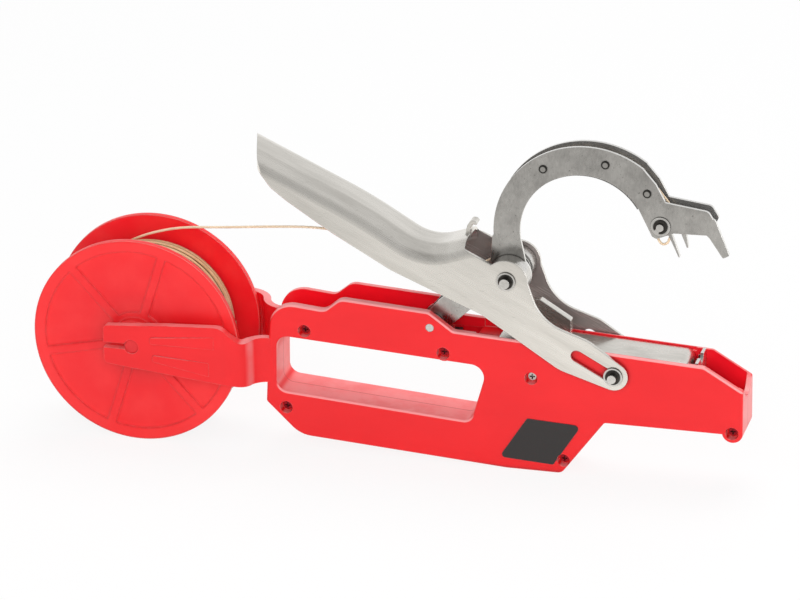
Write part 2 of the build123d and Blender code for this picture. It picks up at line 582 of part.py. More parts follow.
def lever_channel(half, depth, corner):
    """Channel as wide as twice the half width, its top lying a depth under the web's outer face."""
    back = atan2(PALM_TIP[1] - PALM_MID[1], PALM_TIP[0] - PALM_MID[0])
    front = atan2(WEB_FRONT[1] - WEB_DIP[1], WEB_FRONT[0] - WEB_DIP[0])
    start = polar(PALM_MID, 120.0, degrees(back))
    end = polar(WEB_DIP, 180.0, degrees(front))
    points = [(x, 0, z) for x, z in (start, PALM_MID, WEB_DIP, end)]
    path = Wire(FilletPolyline(*points, radius=[PALM_MID_R, WEB_DIP_R]).edges())
    plane = Plane(origin=points[0], x_dir=(0, 1, 0), z_dir=(-cos(back), 0, -sin(back)))
    corners = [(-half, -150.0), (half, -150.0), (half, -depth), (-half, -depth)]
    section = FilletPolyline(*corners, radius=[0, 0, corner, corner], close=True)
    return sweep(plane * Face(Wire(section.edges())), path=path)


def slot_track(hook_angle):
    """Where the slot pin lies in the lever, at its rest place, when the hook has turned."""
    pivot = turned(LEVER_PIVOT, HOOK_PIVOT, -hook_angle)
    rel = turned((SLOT_PIN[0] - pivot[0], SLOT_PIN[1] - pivot[1]), (0, 0), -LEVER_SHARE * hook_angle)
    return (LEVER_PIVOT[0] + rel[0], LEVER_PIVOT[1] + rel[1])


def lever_slot():
    """Straight slot, wide enough for the slightly curved way of the pin while the hook swings."""
    p0, pm, p1 = (slot_track(HOOK_CLOSE * share) for share in (0.0, 0.5, 1.0))
    run = hypot(p1[0] - p0[0], p1[1] - p0[1])
    ux, uz = (p1[0] - p0[0]) / run, (p1[1] - p0[1]) / run
    sag = (pm[1] - p0[1]) * ux - (pm[0] - p0[0]) * uz
    half = SLOT_PIN_R + SLOT_PLAY + abs(sag) / 2
    first = (p0[0] - uz * sag / 2, p0[1] + ux * sag / 2)
    last = (first[0] + ux * (run + SLOT_OVERRUN), first[1] + uz * (run + SLOT_OVERRUN))
    sides = [(x - k * uz * half, z + k * ux * half, 0) for (x, z), k in
             ((first, 1), (last, 1), (last, -1), (first, -1))]
    return slab(outline(sides), -30, 30) + rod_y(first, half, -30, 30) + rod_y(last, half, -30, 30)


def tongue():
    """Small tongue standing up from the middle of the web's front edge, curled forward."""
    x, z = WEB_FRONT
    face = outline((
        (x - 3.0, z - 2.6, 0), (x - 1.6, z + 5.0, 4.0), (x + 0.6, z + 8.6, 2.0), (x + 3.4, z + 8.2, 1.2),
        (x + 4.6, z + 6.4, 0.4), (x + 3.4, z + 5.8, 0.4), (x + 1.9, z + 6.4, 1.0), (x + 0.6, z + 4.0, 3.0),
        (x, z, 0), (x, z - 1.8, 0),
    ))
    return slab(face, -TONGUE_HALF, TONGUE_HALF)


def lever():
    """Stamped stainless channel: palm and web on top, a cheek down each side."""
    body = slab(lever_outline(), -LEVER_HALF, LEVER_HALF)
    body += rod_y(LEVER_PIVOT, EYE_R, -LEVER_HALF, LEVER_HALF)
    body += rod_y(SLOT_PIN, SLOT_EYE_R, -LEVER_HALF, LEVER_HALF)
    body = body & lever_channel(LEVER_HALF, 0.0, BEND_R)
    body -= lever_channel(CHEEK_IN, SHEET, BEND_R - SHEET)
    body -= block(WEB_FRONT[0], NOSE_X, -CHEEK_IN, CHEEK_IN, 0, 220)
    body = body & palm_plan()
    body += tongue()
    body -= rod_y(LEVER_PIVOT, PIN_R + RUN_GAP, -30, 30)
    return body - lever_slot()


def palm_plan():
    """The lever seen from above: cut on a slant at the palm's end, both corners rounded."""
    side = LEVER_HALF + 0.5
    near, far = PALM_END_X - PALM_SLANT * side, PALM_END_X + PALM_SLANT * side
    points = [(near, -side), (far, side), (NOSE_X, side), (NOSE_X, -side)]
    line = FilletPolyline(*points, radius=[*PALM_CORNERS, 0, 0], close=True)
    return extrude(Face(Wire(line.edges())), amount=220.0, dir=(0, 0, 1))


def gear(teeth, spot, x0, x1, bore, tooth_up):
    """Spur gear along X about (y, z); one tooth, or one gap, points straight up or down."""
    pitch = MODULE * teeth / 2
    root, tip = pitch - 1.15 * MODULE, pitch + 0.85 * MODULE
    step = 2 * pi / teeth
    start = pi / 2 if tooth_up else -pi / 2 + step / 2
    points = []
    for k in range(teeth):
        middle = start + k * step
        for radius, half in ((root, 0.33), (tip, 0.12)):
            points.append((radius, middle - half * step))
        for radius, half in ((tip, 0.12), (root, 0.33)):
            points.append((radius, middle + half * step))
    corners = [(x0, spot[0] + r * cos(a), spot[1] + r * sin(a)) for r, a in points]
    face = Face(Wire(Polyline(*corners, close=True).edges()))
    return extrude(face, amount=x1 - x0, dir=(1, 0, 0)) - rod_x(spot, bore, x0 - 1, x1 + 1)


def twister_head():
    """Two barbed horns on a hub: they catch both wire strands and wind them together."""
    axis = (0, SPINDLE_Z)
    low, high = SPINDLE_Z - HORN_HALF, SPINDLE_Z + HORN_HALF
    head = rod_x(axis, 6.0, HEAD_X0, HEAD_X0 + 4.0)
    head += block(HEAD_X0, HEAD_X0 + 4.0, -HORN_OUT, HORN_OUT, low, high)
    horn = block(HEAD_X0 + 2.0, HEAD_X1, HORN_IN, HORN_OUT, low, high)
    horn += block(HEAD_X1 - 3.0, HEAD_X1, HORN_IN, HORN_OUT, low - 4.0, high)
    horn = horn & rod_x(axis, HORN_OUT + 0.4, HEAD_X0, HEAD_X1)
    other = Pos(0, 0, SPINDLE_Z) * Rot(180, 0, 0) * Pos(0, 0, -SPINDLE_Z) * horn
    return head + horn + other - rod_x(axis, SPINDLE_R, HEAD_X0 - 1, HEAD_X0 + 5.0)


def bearing(x):
    ring = rod_x((0, SPINDLE_Z), BEARING_R, x, x + BEARING_W)
    return ring - rod_x((0, SPINDLE_Z), SPINDLE_R + RUN_GAP, x - 1, x + BEARING_W + 1)


def motor_case():
    case = rod_x((0, MOTOR_Z), MOTOR_R, MOTOR_X0, MOTOR_X1)
    case += rod_x((0, MOTOR_Z), 4.0, MOTOR_X1, MOTOR_X1 + 2.0)
    return case - rod_x((0, MOTOR_Z), SHAFT_R + RUN_GAP, MOTOR_X1 - 14.0, MOTOR_X1 + 3.0)


def motor_rotor():
    shaft = rod_x((0, MOTOR_Z), SHAFT_R, MOTOR_X1 - 13.5, GEAR_X + GEAR_W + 0.5)
    return shaft + gear(PINION_TEETH, (0, MOTOR_Z), GEAR_X, GEAR_X + GEAR_W, SHAFT_R, True)


def bar_slope():
    """Angle of the lower bar's underside."""
    return degrees(atan2(bottom_z(0) - bottom_z(1), 1.0))


def in_bar(shape):
    """A piece drawn along X at its place, tipped to lie along the lower bar."""
    return Rot(0, bar_slope(), 0) * shape


def cell_axis():
    """Height of the cells' axis over the bar's sloping floor, in the tipped frame."""
    slope = radians(bar_slope())
    foot = bottom_z(0) * cos(slope)
    lift = max(0.0, (CELL_X1 - FLAT_X) * BAR_RISE)
    return foot + lift + WALL + SEAT_GAP + CELL_R


def battery_cells():
    axis = (0, cell_axis())
    cells = []
    for k in range(2):
        x0 = CELL_X0 + k * CELL_PITCH
        cell = rod_x(axis, CELL_R, x0, x0 + CELL_L - 1.5) + rod_x(axis, 3.0, x0 + CELL_L - 1.6, x0 + CELL_L)
        cells.append(in_bar(cell))
    return cells


def cell_contacts():
    z = cell_axis()
    xs = (CELL_X0 - CONTACT_T, CELL_X0 + CELL_L + CONTACT_T / 2, CELL_X0 + CELL_PITCH + CELL_L)
    return [in_bar(block(x, x + CONTACT_T, -7.0, 7.0, z - 7.0, z + 7.0)) for x in xs]


def circuit_board():
    half = INNER - SEAT_GAP
    board = block(BOARD_X0, BOARD_X1, -half, half, BOARD_Z, BOARD_Z + BOARD_T)
    for x, w in ((70.0, 6.0), (80.0, 9.0), (93.0, 5.0)):
        board += block(x, x + w, -4.0, 4.0, BOARD_Z + BOARD_T, BOARD_Z + BOARD_T + 1.6)
    return board


def socket_axis():
    """Point on the sloping front of the lower bar and the direction out of it."""
    (x0, z0), (x1, z1) = FRONT_LOW, FRONT_HIGH
    length = hypot(x1 - x0, z1 - z0)
    middle = ((x0 + x1) / 2, (z0 + z1) / 2)
    return middle, ((z1 - z0) / length, -(x1 - x0) / length)


def socket_bar(radius, back=None, out=1.0):
    """Round bar along the charging socket's axis."""
    (x, z), (dx, dz) = socket_axis()
    depth = SOCKET_L if back is None else back
    plane = Plane(origin=(x - dx * depth, 0, z - dz * depth), z_dir=(dx, 0, dz))
    return Solid.make_cylinder(radius, depth + out, plane)


def charge_socket():
    body = socket_bar(SOCKET_R, SOCKET_L, 0.0) - socket_bar(SOCKET_BORE_R, SOCKET_L - 1.5, 1.0)
    return body + socket_bar(1.0, SOCKET_L - 0.5, -1.5)


def switch_body():
    z0 = SCREWS[1][1] + BOSS_R + RUN_GAP
    y0 = SWITCH_Y - SWITCH_W / 2
    body = block(SWITCH_X, SWITCH_X + SWITCH_L, y0, y0 + SWITCH_W, z0, SWITCH_Z1)
    return body - button_bar(BUTTON_R + RUN_GAP, SWITCH_Z1 - 3.2, SWITCH_Z1 + 1)


def button_bar(radius, z0, z1):
    plane = Plane(origin=(SWITCH_X + SWITCH_L / 2, SWITCH_Y, z0))
    return Solid.make_cylinder(radius, z1 - z0, plane)


def rocker_angle():
    return degrees(atan2(LEVER_PIVOT[1] - HOOK_PIVOT[1], LEVER_PIVOT[0] - HOOK_PIVOT[0]))


def rocker_point(along, off):
    """A point beside the hook's pivot: along the rocker and off its middle line, upward."""
    c, s = cos(radians(rocker_angle())), sin(radians(rocker_angle()))
    return (HOOK_PIVOT[0] + along * c - off * s, HOOK_PIVOT[1] + along * s + off * c)


def return_spring():
    """Torsion spring round the hook's pivot: one leg under the rocker's spacer, one on the floor."""
    height = SPRING_TURNS * SPRING_PITCH
    y0 = -height / 2
    path = Helix(SPRING_PITCH, height, SPRING_R)
    spring = sweep(Plane(origin=path @ 0, z_dir=path % 0) * Circle(SPRING_WIRE), path=path, is_frenet=True)
    for end, way, reach in ((path @ 1, path % 1, SPRING_LEGS[0]), (path @ 0, -(path % 0), SPRING_LEGS[1])):
        spring += Solid.make_cylinder(SPRING_WIRE, reach, Plane(origin=end, z_dir=way))
    place = Plane(origin=(HOOK_PIVOT[0], y0, HOOK_PIVOT[1]), x_dir=(1, 0, 0), z_dir=(0, 1, 0))
    return place * (Rot(0, 0, -rocker_angle() - 90.0) * spring)


def rocker_spacer():
    """Pin between the hook plates that the spring's upper leg bears on."""
    spot = rocker_point(SPRING_LEGS[0] - 3.0, SPRING_R + SPRING_WIRE + SPACER_R + SEAT_GAP)
    return rod_y(spot, SPACER_R, -PLATE_IN, PLATE_IN)


def pivot_spacers():
    y0 = -TROUGH_HALF + SEAT_GAP
    return both_sides(ring_y(HOOK_PIVOT, 6.0, HOOK_PIN_R + RUN_GAP, y0, -PLATE_OUT - SLIDE_GAP))


def lever_bushes():
    near = ring_y(LEVER_PIVOT, BUSH_R, PIN_R, -CHEEK_IN + SLIDE_GAP, -PLATE_OUT)
    return [near, ring_y(LEVER_PIVOT, FAR_BUSH_R, PIN_R, PLATE_OUT, CHEEK_IN - SLIDE_GAP)]


def slot_sleeves():
    return both_sides(ring_y(SLOT_PIN, SLOT_BUSH_R, SLOT_PIN_R, -CHEEK_IN + SLIDE_GAP, -INNER))


def pin_end():
    return LEVER_HALF + SLIDE_GAP + WASHER_T + CLIP_T + PIN_OUT


def washers(spot, bore):
    y0 = -LEVER_HALF - SLIDE_GAP - WASHER_T
    return both_sides(ring_y(spot, WASHER_R, bore, y0, y0 + WASHER_T))


def clips(spot, shaft_r):
    y0 = -LEVER_HALF - SLIDE_GAP - WASHER_T - CLIP_T
    return both_sides(spring_clip(spot, shaft_r, CLIP_R, y0, CLIP_T))


def shell_screws():
    screws = []
    head_y0 = -HALF_WIDTH + RECESS_DEPTH - SCREW_HEAD_T
    for spot in SCREWS:
        screw = rod_y(spot, SCREW_HEAD_R, head_y0, head_y0 + SCREW_HEAD_T)
        screw += rod_y(spot, SCREW_R, head_y0 + SCREW_HEAD_T, SCREW_TIP_Y)
        for w, h in ((3.2, 0.8), (0.8, 3.2)):
            x, z = spot
            screw -= block(x - w / 2, x + w / 2, head_y0 - 1, head_y0 + 1.2, z - h / 2, z + h / 2)
        screws.append(screw)
    return screws


def label_plate():
    face = outline((
        (FOOT_X - 18.9, 33.7, 1.2), (FOOT_X + 13.8, 32.1, 2.4),
        (FOOT_X - 3.2, 5.6, 1.2), (FOOT_X - 35.8, 7.5, 2.0),
    ))
    plate = slab(face, -HALF_WIDTH - 0.4, -HALF_WIDTH)
    return plate - rod_y(SCREWS[4], RECESS_R + SEAT_GAP, -HALF_WIDTH - 1, 0)


def wiring_leads():
    """Two leads from the board up to the back of the motor."""
    leads = []
    for y in (-6.0, 6.0):
        points = [(BOARD_X0 + 2.0, y, BOARD_Z + BOARD_T), (BOARD_X0 + 2.0, y, MOTOR_Z - 4.0),
                  (MOTOR_X0, y, MOTOR_Z - 4.0)]
        path = Wire(FilletPolyline(*points, radius=[2.5]).edges())
        leads.append(sweep(Plane(origin=points[0], z_dir=(0, 0, 1)) * Circle(LEAD_R), path=path))
    return leads


def reel_parts():
    near = reel_flange()
    axle_end = ARM_OUT_Y - 0.6
    return {
        "reel_near_flange": near,
        "reel_far_flange": mirror(near, about=Plane.XZ),
        "reel_hub": reel_core(),
        "wire_winding": wire_winding(),
        "reel_axle": rod_y((REEL_X, REEL_Z), AXLE_R, -axle_end, axle_end),
    }


def body_parts():
    spindle_x0 = GEAR_X - 1.0
    return {
        "left_shell": half_shell(near=True),
        "right_shell": mirror(half_shell(near=False), about=Plane.XZ),
        "shell_screws": shell_screws(),
        "label_plate": label_plate(),
        "cover_strip": cover_strip(),
        "branch_guide": branch_guide(),
        "nose_bracket": nose_bracket(),
        "cutter_blade": cutter_blade(),
        "hook_pivot_pin": rod_y(HOOK_PIVOT, HOOK_PIN_R, -HALF_WIDTH + 0.2, HALF_WIDTH - 0.2),
        "pivot_spacers": pivot_spacers(),
        "slot_pin": rod_y(SLOT_PIN, SLOT_PIN_R, -pin_end(), pin_end()),
        "slot_pin_sleeves": slot_sleeves(),
        "slot_pin_washers": washers(SLOT_PIN, SLOT_PIN_R),
        "slot_pin_clips": clips(SLOT_PIN, SLOT_PIN_R),
        "return_spring": return_spring(),
        "motor_case": motor_case(),
        "motor_rotor": motor_rotor(),
        "spindle_bearings": [bearing(x) for x in BEARING_X],
        "twister_spindle": rod_x((0, SPINDLE_Z), SPINDLE_R, spindle_x0, HEAD_X0 + 4.0),
        "spindle_gear": gear(GEAR_TEETH, (0, SPINDLE_Z), GEAR_X, GEAR_X + GEAR_W, SPINDLE_R, False),
        "twister_head": twister_head(),
        "battery_cells": battery_cells(),
        "cell_contacts": cell_contacts(),
        "circuit_board": circuit_board(),
        "wiring_leads": wiring_leads(),
        "charge_socket": charge_socket(),
        "switch_body": switch_body(),
        "switch_button": button_bar(BUTTON_R, SWITCH_Z1 - 2.0, SWITCH_Z1 + BUTTON_OUT),
        "tie_wire_run": wire_tube(WIRE_ROUTE),
    }


def linkage_parts():
    washer_y = -PLATE_OUT - GRIPPER_WASHER_T
    parts = {
        "hook_near_plate": hook_plate(finger=True),
        "hook_far_plate": mirror(hook_plate(finger=False), about=Plane.XZ),
        "hook_rivets": [headed_rivet(polar(RING_MID, ROLLER_TRACK, a)) for a in ROLLER_ANGLES.values()],
        "rocker_spacer": rocker_spacer(),
        "lever_pivot_pin": rod_y(LEVER_PIVOT, PIN_R, -pin_end(), pin_end()),
        "lever_pivot_bushes": lever_bushes(),
        "pivot_washers": washers(LEVER_PIVOT, PIN_R),
        "pivot_clips": clips(LEVER_PIVOT, PIN_R),
        "gripper_pin": gripper_pin(),
        "gripper_washer": ring_y(GRIPPER_PIN, GRIPPER_WASHER_R, GRIPPER_PIN_R, washer_y, -PLATE_OUT),
        "gripper_clip": spring_clip(GRIPPER_PIN, GRIPPER_PIN_R, 4.2, washer_y - CLIP_T, CLIP_T),
        "wire_needle": wire_needle(),
        "wire_gripper": wire_gripper(),
        "tie_wire_hook": wire_tube(hook_wire_route()),
        "lever": lever(),
    }
    for name, angle in ROLLER_ANGLES.items():
        parts[name] = roller(polar(RING_MID, ROLLER_TRACK, angle))
    return parts


def main():
    os.makedirs("parts", exist_ok=True)
    for name, shape in {**body_parts(), **reel_parts(), **linkage_parts()}.items():
        solids = shape if isinstance(shape, list) else [shape]
        solids = [solid for piece in solids for solid in piece.solids()]
        export_step(Compound(children=solids) if len(solids) > 1 else solids[0], f"parts/{name}.step")


main()
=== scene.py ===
"""Looks of the electric vine tying tool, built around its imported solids. Lengths are metres."""
import json
import math
import random

import bmesh
import bpy
from mathutils import Matrix, Vector


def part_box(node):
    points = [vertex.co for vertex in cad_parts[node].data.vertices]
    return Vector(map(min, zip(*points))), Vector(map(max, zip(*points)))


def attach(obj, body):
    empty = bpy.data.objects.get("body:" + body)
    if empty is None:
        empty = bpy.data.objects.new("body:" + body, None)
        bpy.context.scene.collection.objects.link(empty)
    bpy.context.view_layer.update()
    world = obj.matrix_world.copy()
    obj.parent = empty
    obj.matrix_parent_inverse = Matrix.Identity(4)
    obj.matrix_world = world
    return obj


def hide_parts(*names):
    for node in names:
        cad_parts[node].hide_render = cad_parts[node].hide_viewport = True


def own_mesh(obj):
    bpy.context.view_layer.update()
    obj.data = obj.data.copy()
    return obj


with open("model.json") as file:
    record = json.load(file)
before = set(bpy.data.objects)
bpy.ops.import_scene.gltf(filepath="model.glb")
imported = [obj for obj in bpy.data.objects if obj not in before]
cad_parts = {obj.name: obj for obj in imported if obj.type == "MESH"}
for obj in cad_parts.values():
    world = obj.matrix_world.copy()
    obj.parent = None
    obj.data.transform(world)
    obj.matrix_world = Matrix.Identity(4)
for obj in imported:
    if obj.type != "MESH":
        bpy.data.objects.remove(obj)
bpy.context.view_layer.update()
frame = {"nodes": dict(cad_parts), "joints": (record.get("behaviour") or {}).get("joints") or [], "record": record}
nodes = frame["nodes"]
scene = bpy.context.scene
random.seed(11)

MM = 0.001
FULL_TURN = 2 * math.pi
ANY_ANGLE = (0, 6.28)            # limits of a random angle
Y, Z = 1, 2                      # numbers of the axes

# Places taken from the frame
JOINT_AT = {joint["name"]: joint["pos_m"] for joint in frame["joints"] if "pos_m" in joint}
REEL = Vector(JOINT_AT["reel_turn"])
RIVETS = [JOINT_AT[wheel + "_roller_turn"] for wheel in ("rear", "top", "front")]
WOUND_LOW, WOUND_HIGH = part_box("wire_winding")
WOUND_R = (WOUND_HIGH.x - WOUND_LOW.x) / 2
WOUND_HALF = (WOUND_HIGH.y - WOUND_LOW.y) / 2

# Places that the materials use, in millimetres: a pair is where a soft step starts and ends
TROUGH_SIDE = (10.2, 11.0)       # from the middle plane to the body's cheeks
TROUGH_FLOOR = (60.0, 66.0)      # height at which the trough starts
NEAR_FACE = (-14.6, -13.6)       # the body's side with the screw heads
PARTING_LINE = (0.16, 0.46)      # from the middle plane
INWARD_AT = (-3.6, -1.6)         # minus the distance from the middle plane of faces that look towards it
HOOK_FOOT = (92.0, 100.0)        # below it the hook's plates are in the body
RING_RIVETS = (171.0, 173.0)     # above it lie the rivets of the hook's ring
RIVET_RIM = (1.35, 1.85)         # from a rivet's axis
SCREW_HEAD_Y = -10.6             # middle of the screw heads
SCREW_HEAD = (1.2, 1.5)          # from there to the head's ends
BARE_SCREW = Vector((89.1, 0, 59.6)) * MM    # in metres, as the joints' places are
BARE_SCREW_R = (3.0, 3.4)
FLANGE_R = 64.0                  # rim of the reel
LEVER_LEAN = 27.0                # degrees that the lever leans nose-down

# Tie wire
WIRE_R = 0.75 * MM
FREE_R, TURN_R, LOOSE_R = 0.97 * WIRE_R, 0.96 * WIRE_R, 0.95 * WIRE_R    # drawn a little thinner
FREE_SIDES, TURN_SIDES, LEAD_SIDES = 10, 7, 8
RIDGE_PITCH, RIDGE_HEIGHT = 6 * MM, 0.03    # the paper's ridges; their height is a share of the radius
# Control points of the wire's free stretch, from the winding to the hook, in millimetres
WIRE_ROUTE = (
    (-177.1, 6.0, 108.0), (-163.0, 6.0, 116.0), (-150.0, 6.0, 122.2), (-130.0, 5.6, 127.9),
    (-104.0, 5.0, 130.2), (-74.0, 4.0, 133.8), (-42.0, 3.0, 136.8), (-8.0, 2.0, 133.2),
    (22.0, 1.0, 127.2), (42.0, 0.3, 123.8), (56.6, 0.0, 122.8), (63.0, 0.0, 128.2),
)
ROUTE_STEPS = 24                 # points for each stretch between control points

# Winding
CORE_R = 22.1 * MM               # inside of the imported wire
CORE_DEPTH = 2.4 * MM            # from the winding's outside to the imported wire
CORE_GROOVE, CORE_GROOVES = 0.55 * MM, 27    # depth and number of the grooves round it
CORE_STEPS, TURN_STEPS = 128, 72    # points in a full turn
TURN_PITCH = 1.56 * MM
FLANGE_GAP = 0.35 * MM           # from the first and last turn to the flanges
# Layers of turns: depth below the outside, wander, share of a full layer, way across, lift
LAYERS = ((1.9 * MM, 0.22 * MM, 1.0, 1, 0.0), (0.85 * MM, 1.76 * MM, 0.6, -1, 0.18 * MM))
WANDER_RATES, LIFT_RATE = (0.21, 0.58, 0.95, 1.32), 0.43    # waves in a full turn
LOOSE_TURNS = 4
LOOSE_DEPTH, LOOSE_RISE = 1.9 * MM, 1.75 * MM
LOOSE_ACROSS, LOOSE_SPAN = (-0.8, 0.8), (3.4, 5.6)    # share of the half width, and angle in radians
LEAD_DEPTH, LEAD_SIDE = 1.6 * MM, 9 * MM    # where the lead out starts: depth, and distance across
LEAD_ANGLE, LEAD_STEPS = 3.6, 60            # angle that it covers in radians, and its points

# Camera, fitted to the photograph
FOCAL_MM, SENSOR_MM, CLIP_END = 211.5, 36, 20
CAMERA_RIGHT = Vector((0.96477, 0.26253, -0.01684))
CAMERA_BACK = Vector((0.24827, -0.88743, 0.38839))
CAMERA_AIM = Vector((0.006, 0, 0.0957))
CAMERA_AWAY = 2.778

# Lamps: name, place, aim, diameter, watts, seen in reflections
LAMPS = (
    ("key", (-0.9, -1.6, 1.7), (0, 0, 0.08), 1.3, 4, False),
    ("camera_side", (0.45, -1.6, 0.8), (0, 0, 0.08), 1.1, 14, False),
    ("top", (0.1, 0.7, 1.9), (0, 0, 0.08), 1.4, 18, False),
    ("front", (1.7, 0.25, 0.4), (0.1, 0, 0.08), 0.7, 5, True),
)
FLOOR_HALF, FLOOR_Z = 6.0, -0.0004
WHITE, BLACK = (1, 1, 1), (0, 0, 0)
CUT_STEEL = (0.93, 0.925, 0.91)


class Nodes:
    """A node tree built up by short calls."""

    def __init__(self, tree):
        self.tree = tree
        tree.nodes.clear()

    def add(self, kind, **settings):
        node = self.tree.nodes.new(kind)
        for key, value in settings.items():
            setattr(node, key, value)
        return node

    def put(self, socket, value):
        """Links the socket to another one, or sets its number, vector or colour."""
        if isinstance(value, bpy.types.NodeSocket):
            self.tree.links.new(value, socket)
        elif socket.type == "RGBA":
            socket.default_value = (*value, 1.0)
        else:
            socket.default_value = value

    def vector(self, operation, a, b=(0, 0, 0)):
        node = self.add("ShaderNodeVectorMath", operation=operation)
        self.put(node.inputs[0], a)
        self.put(node.inputs[1], b)
        return node.outputs["Value" if operation in ("DOT_PRODUCT", "LENGTH") else "Vector"]

    def math(self, operation, a, b=0.0):
        node = self.add("ShaderNodeMath", operation=operation)
        self.put(node.inputs[0], a)
        self.put(node.inputs[1], b)
        return node.outputs[0]

    def plus(self, a, b):
        return self.math("ADD", a, b)

    def minus(self, a, b):
        return self.math("SUBTRACT", a, b)

    def times(self, a, b):
        return self.math("MULTIPLY", a, b)

    def blend(self, a, b, share):
        """Mean of a and b, with this share of b."""
        return self.plus(self.times(a, 1 - share), self.times(b, share))

    def step(self, value, low, high, start=0.0, end=1.0):
        """Soft step from start to end, as the value goes from low to high."""
        node = self.add("ShaderNodeMapRange", interpolation_type="SMOOTHSTEP")
        for name, number in zip(("Value", "From Min", "From Max", "To Min", "To Max"),
                                (value, low, high, start, end)):
            self.put(node.inputs[name], number)
        return node.outputs["Result"]

    def mix(self, factor, a, b, mode="MIX"):
        node = self.add("ShaderNodeMix", data_type="RGBA", blend_type=mode)
        self.put(node.inputs["Factor"], factor)
        self.put(node.inputs[6], a)
        self.put(node.inputs[7], b)
        return node.outputs[2]

    def ramp(self, factor, *stops):
        """Colour ramp from (position, colour) pairs."""
        node = self.add("ShaderNodeValToRGB")
        self.put(node.inputs[0], factor)
        elements = node.color_ramp.elements
        while len(elements) < len(stops):
            elements.new(0.5)
        for element, (position, colour) in zip(elements, stops):
            element.position = position
            element.color = (*colour, 1.0)
        return node.outputs[0]

    def ray(self, *kinds):
        """1 for rays of any of these kinds."""
        path = self.add("ShaderNodeLightPath")
        total = 0.0
        for kind in kinds:
            total = self.math("MAXIMUM", path.outputs[f"Is {kind} Ray"], total)
        return total


class Shader(Nodes):
    """A material on one principled shader. Its lengths are millimetres."""

    def __init__(self, name):
        self.material = bpy.data.materials.new(name)
        self.material.use_nodes = True
        super().__init__(self.material.node_tree)
        self.bsdf = self.add("ShaderNodeBsdfPrincipled")
        output = self.add("ShaderNodeOutputMaterial")
        self.put(output.inputs[0], self.bsdf.outputs[0])
        spot = self.add("ShaderNodeTexCoord").outputs["Object"]
        self.place = self.vector("MULTIPLY", spot, (1 / MM, 1 / MM, 1 / MM))

    def set(self, **values):
        """Sets or links sockets of the principled shader by name, with _ for a space."""
        for name, value in values.items():
            self.put(self.bsdf.inputs[name.replace("_", " ")], value)

    def noise(self, scale, detail=3.0, rough=0.6, stretch=(1, 1, 1), shift=0.0, lean=0.0):
        """Noise with this many features per millimetre. Its pattern leans nose-down by degrees."""
        place = self.place
        if lean:
            turn = self.add("ShaderNodeVectorRotate", rotation_type="Y_AXIS")
            self.put(turn.inputs["Vector"], place)
            self.put(turn.inputs["Angle"], -math.radians(lean))
            place = turn.outputs[0]
        place = self.vector("MULTIPLY", place, stretch)
        place = self.vector("ADD", place, (shift, shift * 1.7, shift * 0.6))
        node = self.add("ShaderNodeTexNoise")
        for name, value in (("Vector", place), ("Scale", scale), ("Detail", detail), ("Roughness", rough)):
            self.put(node.inputs[name], value)
        return node.outputs["Fac"]

    def straight_normal(self):
        return self.add("ShaderNodeNewGeometry").outputs["Normal"]

    def soft_normal(self, radius):
        """Normal that goes round edges as if they had this radius."""
        node = self.add("ShaderNodeBevel", samples=6)
        node.inputs["Radius"].default_value = radius * MM
        return node.outputs[0]

    def edge(self, radius, gain=6.0):
        """1 along edges, 0 on faces."""
        along = self.vector("DOT_PRODUCT", self.soft_normal(radius), self.straight_normal())
        away = self.minus(1.0, along)
        return self.step(self.times(away, gain), 0.05, 0.9)

    def bump(self, height, strength, distance, normal=None):
        node = self.add("ShaderNodeBump")
        node.inputs["Strength"].default_value = strength
        node.inputs["Distance"].default_value = distance * MM
        self.put(node.inputs["Height"], height)
        if normal:
            self.put(node.inputs["Normal"], normal)
        return node.outputs[0]

    def axis(self, which):
        node = self.add("ShaderNodeSeparateXYZ")
        self.put(node.inputs[0], self.place)
        return node.outputs[which]

    def off_middle(self):
        """Distance from the tool's middle plane."""
        return self.math("ABSOLUTE", self.axis(Y))

    def facing(self, way):
        """1 on faces that look this way, -1 on those that look the other way."""
        return self.vector("DOT_PRODUCT", self.straight_normal(), way)

    def inward(self):
        """1 on faces that look towards the tool's middle plane."""
        side = self.times(self.facing((0, 1, 0)), self.axis(Y))
        return self.step(side, *INWARD_AT, 1.0, 0.0)

    def corner(self, reach):
        """1 deep in corners, 0 on open faces."""
        node = self.add("ShaderNodeAmbientOcclusion", samples=6)
        node.inputs["Distance"].default_value = reach * MM
        return self.step(node.outputs["AO"], 0.45, 0.9, 1.0, 0.0)

    def around(self, spot):
        """Distance from the line along Y through a spot, which is given in metres."""
        x, _, z = spot
        way = self.vector("SUBTRACT", self.place, (x / MM, 0, z / MM))
        return self.vector("LENGTH", self.vector("MULTIPLY", way, (1, 0, 1)))


